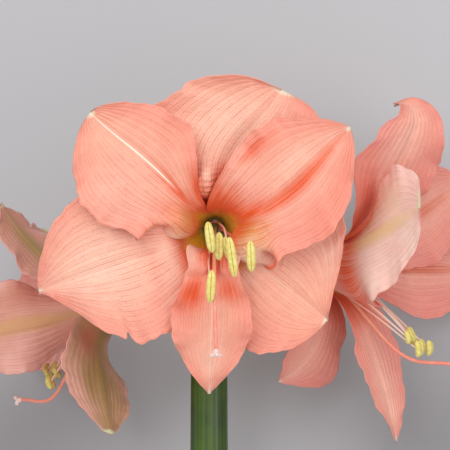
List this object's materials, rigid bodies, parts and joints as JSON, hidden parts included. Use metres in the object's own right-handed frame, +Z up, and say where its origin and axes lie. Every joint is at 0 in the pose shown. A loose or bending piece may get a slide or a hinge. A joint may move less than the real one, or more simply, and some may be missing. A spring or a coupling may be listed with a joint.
{
  "type": "amaryllis stem",
  "caption": "Cut amaryllis stem lying on a surface, with salmon blooms open on arched stalks at the top of one stout hollow green stem.",
  "frame": {"origin": "on the surface that the stem lies on, under the middle of its box", "axes": "+Y along the lying stem towards its blooms, +Z up, +X to the right for someone who looks down with the blooms away from them; the front bloom faces up"},
  "size_m": [0.3212, 0.5788, 0.2011],
  "materials": {
    "petal_skin": "matte",
    "stem_skin": "satin",
    "stamen_skin": "matte",
    "style_skin": "satin",
    "papery_bract": "matte"
  },
  "bodies": {
    "root": {"scape": "stem_skin", "pedicel_front": "stem_skin", "pedicel_right": "stem_skin", "pedicel_left": "stem_skin", "bloom_front": "petal_skin", "bloom_right": "petal_skin", "bloom_left": "petal_skin", "stamens_front": "stamen_skin", "stamens_right": "stamen_skin", "stamens_left": "stamen_skin", "style_front": "style_skin", "style_right": "style_skin", "style_left": "style_skin", "spathe_valve_a": "papery_bract", "spathe_valve_b": "papery_bract"}
  },
  "joints": []
}
